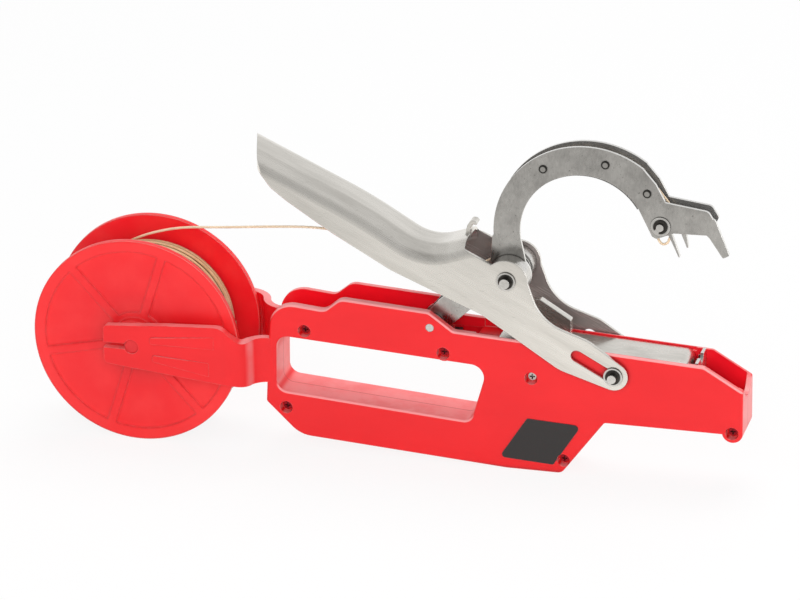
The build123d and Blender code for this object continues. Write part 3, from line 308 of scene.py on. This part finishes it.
def red_body():
    """Glossy moulded plastic: flow marks, edges paler from wear and a painted highlight, painted highlights on
    slopes and on faces that look up or to the front, inner faces painted brighter, painted shade in near-side
    corners, and the parting line.
    """
    deep, red, inside_lit = (0.82, 0.004, 0.009), (0.89, 0.007, 0.012), (0.97, 0.008, 0.020)
    pale_edge, paler_tone = (0.96, 0.20, 0.19), (1.0, 0.50, 0.50)
    shaded, parted = (0.30, 0.002, 0.006), (0.42, 0.004, 0.008)
    s = Shader("red_body")
    up, near, front = s.facing((0, 0, 1)), s.facing((0, -1, 0)), s.facing((1, 0, 0))

    flow = s.noise(0.035, 4.0, 0.5, (0.45, 1, 1))
    # Painted light: faces that look towards the middle plane get a brighter red, to make up for the shade in the
    # trough.
    colour = s.mix(s.inward(), s.ramp(flow, (0.3, deep), (0.7, red)), inside_lit)
    # Edges are paler in patches: partly wear, partly a painted highlight on the rounded edges.
    patchy = s.step(s.noise(0.22, 4.0, shift=3.0), 0.35, 0.7, 0.12, 0.6)
    colour = s.mix(s.times(s.edge(0.9), patchy), colour, pale_edge)
    # Painted highlight: faces that slope up towards the near side are paler.
    lit_slope = s.times(s.step(up, 0.12, 0.5), s.step(near, 0.12, 0.5))
    colour = s.mix(s.times(lit_slope, 0.7), colour, paler_tone)

    # Painted light: faces that look up or to the front are paler in patches, except inside the trough.
    lit_faces = s.math("MAXIMUM", s.step(up, 0.7, 0.97, 0.0, 0.58), s.step(front, 0.8, 0.98, 0.0, 0.46))
    pale_share = s.times(lit_faces, s.step(s.noise(0.06, 4.0, shift=21.0), 0.3, 0.65, 0.65, 1.0))
    trough = s.times(s.step(s.off_middle(), *TROUGH_SIDE, 1.0, 0.0), s.step(s.axis(Z), *TROUGH_FLOOR))
    colour = s.mix(s.times(pale_share, s.minus(1.0, trough)), colour, paler_tone)

    # Painted shade: corners on the near side, such as in the lever's slot and under its cheeks, are darker.
    outside = s.times(s.step(near, 0.8, 0.95, 0.0, 0.75), s.step(s.axis(Y), *NEAR_FACE, 1.0, 0.0))
    colour = s.mix(s.times(s.corner(5.0), outside), colour, shaded)
    seam = s.step(s.off_middle(), *PARTING_LINE, 1.0, 0.0)
    colour = s.mix(s.times(seam, 0.6), colour, parted)

    grain = s.noise(1.6, 4.0)
    scuff = s.step(s.noise(0.5, 5.0, 0.65, (0.25, 1, 1), 9.0), 0.55, 0.75)
    rough = s.plus(s.step(grain, 0.3, 0.7, 0.30, 0.38), s.times(scuff, 0.07))
    height = s.minus(s.times(grain, 0.5), seam)
    s.set(Base_Color=colour, Roughness=rough, Normal=s.bump(height, 0.22, 0.06, s.soft_normal(0.5)),
          Specular_IOR_Level=0.5, IOR=1.5)
    return s.material


def red_reel():
    """The reel's thinner plastic: painted light makes it paler towards the rim and painted shade duller near the
    hub, with painted light on inner faces and corners, and fine marks all round.
    """
    hub, web, outer = (0.70, 0.016, 0.022), (0.86, 0.014, 0.02), (0.90, 0.018, 0.023)
    rim, inside_lit, clouded = (0.94, 0.026, 0.03), (0.95, 0.010, 0.020), (0.97, 0.05, 0.05)
    corner_lit, pale_edge = (1.0, 0.065, 0.07), (0.98, 0.34, 0.32)
    s = Shader("red_reel")
    radius = s.around(REEL)
    # Painted light and shade: paler towards the rim, where light comes through the flange, and darker near the
    # hub, where the winding lies behind it.
    colour = s.ramp(s.math("DIVIDE", radius, FLANGE_R), (0.22, hub), (0.5, web), (0.84, outer), (0.93, rim))
    # Painted light: faces that look towards the middle plane get a brighter red.
    colour = s.mix(s.inward(), colour, inside_lit)
    cloud = s.noise(0.05, 4.0, 0.55, (1, 0.2, 1))
    colour = s.mix(s.step(cloud, 0.35, 0.75, 0.0, 0.35), colour, clouded)
    # Painted light: concave corners are lighter, to cancel the shade at the pockets' walls.
    colour = s.mix(s.times(s.corner(1.2), 0.55), colour, corner_lit)
    # Edges are paler: wear in patches, and a painted highlight all along the rim.
    worn = s.times(s.edge(0.6), s.step(s.noise(0.3), 0.3, 0.7, 0.0, 0.25))
    rim_highlight = s.times(s.edge(1.0), s.step(radius, FLANGE_R - 1.8, FLANGE_R - 0.6, 0.0, 0.75))
    colour = s.mix(s.math("MAXIMUM", worn, rim_highlight), colour, pale_edge)
    grain = s.noise(1.3, 4.0)
    scuff = s.step(s.noise(0.4, 5.0, 0.7, (0.3, 1, 1), 5.0), 0.52, 0.72, 0.0, 0.1)
    s.set(Base_Color=colour, Roughness=s.plus(s.step(grain, 0.3, 0.7, 0.3, 0.4), scuff),
          Normal=s.bump(grain, 0.2, 0.05, s.soft_normal(2.0)), Specular_IOR_Level=0.4, IOR=1.5,
          Subsurface_Weight=0.12, Subsurface_Scale=0.003, Subsurface_Radius=(1.0, 0.25, 0.2))
    return s.material


def metal(name, dark, light, rough, streak=(0.05, 1, 1), mottle=0.12, bright=0.6, bump=0.08, edge=0.5,
          inner=None, tint=None):
    """Sheet or turned metal: mottled tone, polish marks, smudges, bright worn edges, painted shade in corners and,
    where asked, on inner faces.
    """
    worn_edge, pitted, corner_shade = (0.88, 0.87, 0.85), (0.10, 0.095, 0.09), (0.05, 0.047, 0.043)
    s = Shader(name)
    patch = s.noise(mottle, 5.0)
    line = s.noise(3.0, stretch=streak)
    colour = s.ramp(s.blend(patch, line, 0.28), (0.34, dark), (0.66, light))
    worn = s.times(s.edge(edge), s.step(s.noise(0.5, shift=4.0), 0.3, 0.65, 0.3, 1.0))
    colour = s.mix(s.times(worn, bright), colour, worn_edge)
    shine = 1.0
    if inner:
        cut = s.step(s.math("ABSOLUTE", s.facing((0, 1, 0))), 0.25, 0.6, 0.85, 0.0)
        colour = s.mix(cut, colour, CUT_STEEL)
        speck = s.step(s.noise(0.7, 2.0, 0.5, shift=15.0), 0.70, 0.76, 0.0, 0.6)
        colour = s.mix(speck, colour, pitted)
        # Painted shade: the hook plates' inner faces get a darker, less metallic copy of the steel.
        shaded_inner = s.times(s.inward(), s.step(s.axis(Z), *HOOK_FOOT))
        inner_dark = [value * 0.7 for value in inner]
        colour = s.mix(shaded_inner, colour, s.ramp(patch, (0.34, inner_dark), (0.66, inner)))
        shine = s.minus(1.0, s.times(shaded_inner, 0.7))
    if tint:
        colour = tint(s, colour)
    # Painted shade: darker in corners, such as round rivets, pins and washers.
    colour = s.mix(s.times(s.corner(1.3), 0.8), colour, corner_shade)
    smudge = s.step(s.noise(0.09, 4.0, shift=7.0), 0.35, 0.7, *rough)
    fine = s.step(line, 0.3, 0.7, -0.03, 0.05)
    s.set(Base_Color=colour, Metallic=shine, Roughness=s.plus(smudge, fine),
          Normal=s.bump(line, bump, 0.05, s.soft_normal(edge * 0.7)))
    return s.material


def dull_rivets(s, colour):
    """The rivets of the hook's ring are duller than the other pins, with painted shade as a dark rim round each
    head.
    """
    dull, rim = (0.46, 0.45, 0.43), (0.05, 0.048, 0.045)
    away = s.around(RIVETS[0])
    for rivet in RIVETS[1:]:
        away = s.math("MINIMUM", away, s.around(rivet))
    # Painted shade: the outer part of each head is dark.
    head = s.mix(s.step(away, *RIVET_RIM), dull, rim)
    return s.mix(s.step(s.axis(Z), *RING_RIVETS), colour, head)


def screws_red_reflection(s, colour):
    """The heads of the body's screws carry a painted reflection of their red pits; one is still bare."""
    red, bare = (0.36, 0.02, 0.03), (0.62, 0.60, 0.57)
    # Painted reflection: the red of the pits, on all heads but the bare one.
    head = s.step(s.math("ABSOLUTE", s.minus(s.axis(Y), SCREW_HEAD_Y)), *SCREW_HEAD, 1.0, 0.0)
    bare_one = s.step(s.around(BARE_SCREW), *BARE_SCREW_R, 1.0, 0.0)
    return s.mix(head, colour, s.mix(bare_one, red, bare))


def stainless():
    """Polished stamped sheet: faint polish lines, wipe marks, short scratches, and painted shade on inner faces
    and in corners.
    """
    dull, light = (0.66, 0.64, 0.60), (0.93, 0.905, 0.86)
    scratched, corner_shade = (0.45, 0.43, 0.40), (0.10, 0.09, 0.085)
    inner_dark, inner = (0.31, 0.27, 0.255), (0.40, 0.35, 0.33)
    s = Shader("stainless")
    wipe = s.noise(0.075, 4.0, 0.55, (0.13, 1, 1), lean=LEVER_LEAN)
    line = s.noise(2.4, stretch=(0.035, 1.2, 0.9), lean=LEVER_LEAN)
    colour = s.ramp(s.blend(wipe, line, 0.25), (0.34, dull), (0.62, light))
    nick = s.step(s.noise(0.9, 2.0, 0.5, (0.16, 1, 1.6), 12.0), 0.68, 0.74)
    colour = s.mix(s.times(nick, 0.3), colour, scratched)
    colour = s.mix(s.times(s.edge(0.8), 0.75), colour, CUT_STEEL)
    # Painted shade: inner faces get a darker, less metallic copy of the steel.
    shaded_inner = s.inward()
    colour = s.mix(shaded_inner, colour, s.ramp(wipe, (0.35, inner_dark), (0.65, inner)))
    # Painted shade: darker in corners.
    colour = s.mix(s.times(s.corner(2.0), 0.45), colour, corner_shade)
    rough = s.plus(s.step(wipe, 0.3, 0.7, 0.17, 0.27), s.step(line, 0.3, 0.7, -0.03, 0.06))
    height = s.minus(line, s.times(nick, 0.8))
    s.set(Base_Color=colour, Metallic=s.minus(1.0, s.times(shaded_inner, 0.6)), Roughness=rough,
          Normal=s.bump(height, 0.06, 0.05, s.soft_normal(0.8)), Anisotropic=0.25)
    return s.material


def tie_wire():
    """Kraft paper rolled round thin wire: fibres, a spread of tan tones, painted shade in the gaps between the
    turns.
    """
    brown, tan, light = (0.55, 0.31, 0.13), (0.77, 0.52, 0.28), (0.88, 0.69, 0.44)
    pale, free, gap_shade = (0.97, 0.82, 0.58), (0.93, 0.85, 0.72), (0.11, 0.05, 0.02)
    wound = WOUND_R / MM
    s = Shader("tie_wire")
    fibre = s.noise(2.2, 5.0, 0.65)
    tone = s.noise(0.16, 3.0, 0.5)
    colour = s.ramp(s.blend(fibre, tone, 0.45), (0.3, brown), (0.52, tan), (0.75, light))
    strand = s.noise(0.75, 2.0, 0.5, (0.03, 1, 0.03), 31.0)
    colour = s.mix(s.step(strand, 0.45, 0.65, 0.0, 0.45), colour, pale)
    radius = s.around(REEL)
    colour = s.mix(s.step(radius, wound + 3.0, wound + 8.0, 0.0, 0.4), colour, free)
    # Painted shade: dark in the gaps between turns and deeper in the winding.
    deep = s.math("MAXIMUM", s.corner(1.6), s.step(radius, wound - 1.9, wound - 0.6, 1.0, 0.0))
    colour = s.mix(s.times(deep, 0.85), colour, gap_shade)
    s.set(Base_Color=colour, Roughness=s.step(fibre, 0.3, 0.7, 0.62, 0.82),
          Normal=s.bump(fibre, 0.5, 0.12), Sheen_Weight=0.15, Specular_IOR_Level=0.3)
    return s.material


def label_black():
    """Matte printed film, left bare, with fine dust and slightly rubbed edges."""
    dark, black = (0.016, 0.014, 0.014), (0.026, 0.023, 0.023)
    paler_tone, pale_edge = (0.10, 0.095, 0.09), (0.16, 0.15, 0.15)
    s = Shader("label_black")
    grain = s.noise(2.6, 4.0)
    pale_share = s.step(s.noise(0.8, 5.0, 0.7, shift=2.0), 0.6, 0.8, 0.0, 0.35)
    colour = s.mix(pale_share, s.ramp(grain, (0.3, dark), (0.7, black)), paler_tone)
    colour = s.mix(s.times(s.edge(0.3), 0.5), colour, pale_edge)
    s.set(Base_Color=colour, Roughness=s.step(grain, 0.3, 0.7, 0.42, 0.54), Normal=s.bump(grain, 0.15, 0.03))
    return s.material


def moulded(name, dark, light, rough, scale=0.6, edge_colour=None, coat=0.0):
    """Small moulded or coated parts."""
    s = Shader(name)
    grain = s.noise(scale, 4.0)
    fine = s.noise(3.0, shift=6.0)
    colour = s.ramp(grain, (0.32, dark), (0.68, light))
    if edge_colour:
        colour = s.mix(s.times(s.edge(0.35), 0.6), colour, edge_colour)
    s.set(Base_Color=colour, Roughness=s.step(fine, 0.3, 0.7, *rough), Normal=s.bump(fine, 0.15, 0.03),
          Coat_Weight=coat)
    return s.material


MATERIALS = {
    "red_body": red_body(),
    "red_reel": red_reel(),
    "stainless": stainless(),
    "plate_steel": metal("plate_steel", (0.39, 0.382, 0.368), (0.66, 0.648, 0.625), (0.22, 0.38),
                         (0.3, 1, 0.12), mottle=0.06, bright=0.75, bump=0.12, inner=(0.24, 0.235, 0.225)),
    "bright_pins": metal("bright_pins", (0.60, 0.59, 0.57), (0.78, 0.77, 0.75), (0.16, 0.28),
                         (1, 0.1, 1), mottle=0.4, tint=dull_rivets),
    "dark_steel": metal("dark_steel", (0.035, 0.032, 0.029), (0.08, 0.075, 0.07), (0.28, 0.45),
                        (1, 0.3, 1), mottle=0.5, bright=0.12, edge=0.3, tint=screws_red_reflection),
    "roller_steel": metal("roller_steel", (0.24, 0.22, 0.20), (0.40, 0.38, 0.35), (0.25, 0.4),
                          (1, 0.1, 1), mottle=0.5),
    "tie_wire": tie_wire(),
    "label_black": label_black(),
    "motor_can": metal("motor_can", (0.52, 0.52, 0.52), (0.68, 0.68, 0.67), (0.22, 0.36), (0.06, 1, 1)),
    "cell_wrap": moulded("cell_wrap", (0.03, 0.14, 0.30), (0.05, 0.20, 0.40), (0.22, 0.34), coat=0.3),
    "contact_brass": metal("contact_brass", (0.60, 0.42, 0.16), (0.82, 0.64, 0.32), (0.25, 0.4),
                           (0.1, 1, 1)),
    "board_green": moulded("board_green", (0.012, 0.10, 0.035), (0.02, 0.16, 0.06), (0.32, 0.48), 0.9,
                           (0.35, 0.32, 0.2)),
    "black_plastic": moulded("black_plastic", (0.012, 0.012, 0.013), (0.022, 0.022, 0.023), (0.38, 0.52),
                             0.9, (0.07, 0.07, 0.07)),
    "button_red": moulded("button_red", (0.50, 0.02, 0.022), (0.62, 0.04, 0.04), (0.28, 0.4), 0.9,
                          (0.8, 0.2, 0.2)),
    "lead_rubber": moulded("lead_rubber", (0.015, 0.015, 0.016), (0.03, 0.03, 0.03), (0.5, 0.65), 1.2),
}


def dress(piece, slot):
    piece.data.materials.clear()
    piece.data.materials.append(MATERIALS[slot])


def make_piece(name, mesh_data, slot):
    mesh = bpy.data.meshes.new(name)
    mesh_data.normal_update()
    mesh_data.to_mesh(mesh)
    mesh_data.free()
    mesh.shade_smooth()
    piece = bpy.data.objects.new(name, mesh)
    scene.collection.objects.link(piece)
    dress(piece, slot)
    return piece


def add_tube(mesh_data, points, radius, sides, twist=0.0, ridge=0.0):
    """Tube along points. Two ridges wind round it, and each comes to the other's place after a twist."""
    normal = Vector((0, 1, 0))
    rings, run = [], 0.0
    for i, point in enumerate(points):
        ahead = points[min(i + 1, len(points) - 1)] - points[max(i - 1, 0)]
        ahead.normalize()
        normal = (normal - ahead * normal.dot(ahead)).normalized()
        side = ahead.cross(normal)
        run += (point - points[i - 1]).length if i else 0.0
        ring = []
        for k in range(sides):
            angle = FULL_TURN * k / sides
            wave = math.cos(2 * angle - FULL_TURN * run / twist) if twist else 0.0
            out = normal * math.cos(angle) + side * math.sin(angle)
            ring.append(mesh_data.verts.new(point + out * radius * (1.0 + ridge * wave)))
        rings.append(ring)
    for a, b in zip(rings, rings[1:]):
        for k in range(sides):
            mesh_data.faces.new((a[k], a[(k + 1) % sides], b[(k + 1) % sides], b[k]))
    mesh_data.faces.new(list(reversed(rings[0])))
    mesh_data.faces.new(rings[-1])


def route_points():
    """Points read from the smooth spline whose control points are the wire's route."""
    curve = bpy.data.curves.new("wire_route", "CURVE")
    curve.dimensions = "3D"
    spline = curve.splines.new("NURBS")
    spline.points.add(len(WIRE_ROUTE) - 1)
    for target, spot in zip(spline.points, WIRE_ROUTE):
        target.co = (*[v * MM for v in spot], 1.0)
    spline.order_u = 3
    spline.use_endpoint_u = True
    spline.resolution_u = ROUTE_STEPS
    holder = bpy.data.objects.new("wire_route", curve)
    scene.collection.objects.link(holder)
    bpy.context.view_layer.update()
    line = bpy.data.meshes.new_from_object(holder.evaluated_get(bpy.context.evaluated_depsgraph_get()))
    points = [v.co.copy() for v in line.vertices]
    bpy.data.objects.remove(holder)
    bpy.data.curves.remove(curve)
    bpy.data.meshes.remove(line)
    return points


def free_wire():
    """Free stretch of the tie wire, from the winding over the body into the hook's stem."""
    points = route_points()
    data = bmesh.new()
    add_tube(data, points, FREE_R, FREE_SIDES, twist=RIDGE_PITCH, ridge=RIDGE_HEIGHT)
    piece = make_piece("tie_wire_free", data, "tie_wire")
    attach(piece, "body")
    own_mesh(piece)
    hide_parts("tie_wire_run")


def reel_point(radius, angle, y):
    return REEL + Vector((radius * math.cos(angle), y, radius * math.sin(angle)))


def packed_core(data):
    """The wire below the turns that are drawn one by one, as a ring with grooves."""
    profile = [(CORE_R, -WOUND_HALF)]
    for k in range(CORE_GROOVES * 2 + 1):
        y = -WOUND_HALF + 2 * WOUND_HALF * k / (CORE_GROOVES * 2)
        groove = CORE_GROOVE if k % 2 == 0 else 0.0
        profile.append((WOUND_R - CORE_DEPTH - groove, y))
    profile.append((CORE_R, WOUND_HALF))
    rings = []
    for i in range(CORE_STEPS):
        angle = FULL_TURN * i / CORE_STEPS
        rings.append([data.verts.new(reel_point(radius, angle, y)) for radius, y in profile])
    for a, b in zip(rings, rings[1:] + rings[:1]):
        for k in range(len(profile)):
            n = (k + 1) % len(profile)
            data.faces.new((a[k], b[k], b[n], a[n]))


def laid_layer(data, depth, wander, filled, way, lift):
    """A layer of turns laid side by side across the reel, which wander from their places."""
    phases = [random.uniform(*ANY_ANGLE) for _ in WANDER_RATES]
    laid = int(int(2 * (WOUND_HALF - WIRE_R) / TURN_PITCH) * filled) * TURN_STEPS
    last_y = WOUND_HALF - WIRE_R
    points = []
    for i in range(laid + 1):
        angle = FULL_TURN * i / TURN_STEPS
        drift = sum(math.sin(rate * angle + phase) for rate, phase in zip(WANDER_RATES, phases))
        y = (2 * i / laid - 1) * (last_y - FLANGE_GAP) * way + drift / len(phases) * wander
        radius = WOUND_R - depth + lift * math.sin(LIFT_RATE * angle + phases[0])
        points.append(reel_point(radius, -angle, max(-last_y, min(last_y, y))))
    add_tube(data, points, TURN_R, TURN_SIDES)


def loose_turn(data):
    """A turn that runs aslant over the others."""
    start = random.uniform(*ANY_ANGLE)
    y0, y1 = random.uniform(*LOOSE_ACROSS), random.uniform(*LOOSE_ACROSS)
    span = random.uniform(*LOOSE_SPAN)
    points = []
    for i in range(TURN_STEPS + 1):
        share = i / TURN_STEPS
        rise = LOOSE_RISE * math.sin(math.pi * share) ** 0.4
        y = (WOUND_HALF - 2 * WIRE_R) * (y0 + (y1 - y0) * share)
        points.append(reel_point(WOUND_R - LOOSE_DEPTH + rise, start + span * share, y))
    add_tube(data, points, LOOSE_R, TURN_SIDES)


def lead_out(data):
    """The last turn, which rises out of the winding to where the free wire starts."""
    lead = Vector(WIRE_ROUTE[0]) * MM - REEL
    end_angle, end_radius = math.atan2(lead.z, lead.x), math.hypot(lead.x, lead.z)
    start_radius = WOUND_R - LEAD_DEPTH
    points = []
    for i in range(LEAD_STEPS + 1):
        share = i / LEAD_STEPS
        radius = start_radius + (end_radius - start_radius) * min(1.0, share * 3) ** 1.5
        y = lead.y + LEAD_SIDE * (1 - share) ** 2
        points.append(reel_point(radius, end_angle + LEAD_ANGLE * (1 - share), y))
    add_tube(data, points, FREE_R, LEAD_SIDES)


def winding():
    """Wire on the reel: a packed core, layers of turns over it, loose turns across and the lead out."""
    data = bmesh.new()
    packed_core(data)
    for layer in LAYERS:
        laid_layer(data, *layer)
    for _ in range(LOOSE_TURNS):
        loose_turn(data)
    lead_out(data)
    piece = make_piece("wound_wire", data, "tie_wire")
    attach(piece, "reel")
    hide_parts("wire_winding")


def camera():
    lens = bpy.data.cameras.new("camera")
    lens.lens, lens.sensor_width, lens.clip_end = FOCAL_MM, SENSOR_MM, CLIP_END
    view = bpy.data.objects.new("camera", lens)
    scene.collection.objects.link(view)
    up = CAMERA_BACK.cross(CAMERA_RIGHT)
    view.matrix_world = Matrix((CAMERA_RIGHT, up, CAMERA_BACK)).transposed().to_4x4()
    view.matrix_world.translation = CAMERA_AIM + CAMERA_BACK * CAMERA_AWAY
    scene.camera = view


def studio():
    """A white studio whose ceiling, and the side of the camera, are dimmer in reflections."""
    walls, upper, ceiling = (0.95, 0.95, 0.95), (0.88, 0.875, 0.865), (0.62, 0.615, 0.605)
    camera_side, fill = (0.30, 0.295, 0.285), (0.46, 0.46, 0.465)
    camera_way = (-0.12, -0.93, 0.34)
    world = bpy.data.worlds.new("studio")
    scene.world = world
    world.use_nodes = True
    n = Nodes(world.node_tree)
    way = n.add("ShaderNodeTexCoord").outputs["Generated"]
    height = n.step(n.vector("DOT_PRODUCT", way, (0, 0, 1)), -0.05, 1.0)
    room = n.ramp(height, (0.0, walls), (0.25, upper), (0.75, ceiling))
    behind = n.step(n.vector("DOT_PRODUCT", way, camera_way), 0.72, 0.97, 0.0, 0.8)
    room = n.mix(behind, room, camera_side)
    light = n.mix(n.ray("Glossy"), fill, room)
    light = n.mix(n.ray("Camera", "Transmission"), light, WHITE)
    background = n.add("ShaderNodeBackground")
    n.put(background.inputs["Color"], light)
    n.put(n.add("ShaderNodeOutputWorld").inputs[0], background.outputs[0])


def floor_look():
    """White floor that glows for the camera and for reflections, which see it dimmer near the camera."""
    pale, warm, glow_share = (0.94, 0.94, 0.94), (1.0, 0.98, 0.94), 0.88
    material = bpy.data.materials.new("floor")
    material.use_nodes = True
    n = Nodes(material.node_tree)
    diffuse = n.add("ShaderNodeBsdfDiffuse")
    n.put(diffuse.inputs[0], pale)
    spot = n.add("ShaderNodeNewGeometry").outputs["Position"]
    nearness = n.step(n.vector("DOT_PRODUCT", spot, (0, -1, 0)), 0.12, 0.55, 0.0, 0.5)
    tone = n.mix(n.times(nearness, n.ray("Glossy")), WHITE, BLACK)
    tone = n.mix(n.ray("Glossy"), tone, warm, "MULTIPLY")
    glow = n.add("ShaderNodeEmission")
    n.put(glow.inputs["Color"], tone)
    both = n.add("ShaderNodeMixShader")
    n.put(both.inputs[0], n.times(n.ray("Camera", "Glossy", "Transmission"), glow_share))
    n.put(both.inputs[1], diffuse.outputs[0])
    n.put(both.inputs[2], glow.outputs[0])
    n.put(n.add("ShaderNodeOutputMaterial").inputs[0], both.outputs[0])
    return material


def ground():
    data = bmesh.new()
    bmesh.ops.create_grid(data, x_segments=2, y_segments=2, size=FLOOR_HALF)
    mesh = bpy.data.meshes.new("floor")
    data.to_mesh(mesh)
    data.free()
    mesh.materials.append(floor_look())
    floor = bpy.data.objects.new("floor", mesh)
    floor.location.z = FLOOR_Z
    scene.collection.objects.link(floor)


def lamp(name, spot, aim, size, energy, mirrored):
    light = bpy.data.lights.new(name, "AREA")
    light.shape, light.size, light.energy = "DISK", size, energy
    holder = bpy.data.objects.new(name, light)
    holder.location = spot
    holder.visible_glossy = mirrored
    holder.rotation_euler = (Vector(aim) - Vector(spot)).to_track_quat("-Z", "Y").to_euler()
    scene.collection.objects.link(holder)


for part in frame["record"]["subparts"]:
    dress(nodes[part["node"]], part["material_slot"])
camera()
free_wire()
winding()
studio()
ground()
for settings in LAMPS:
    lamp(*settings)
scene.view_settings.view_transform = "Standard"
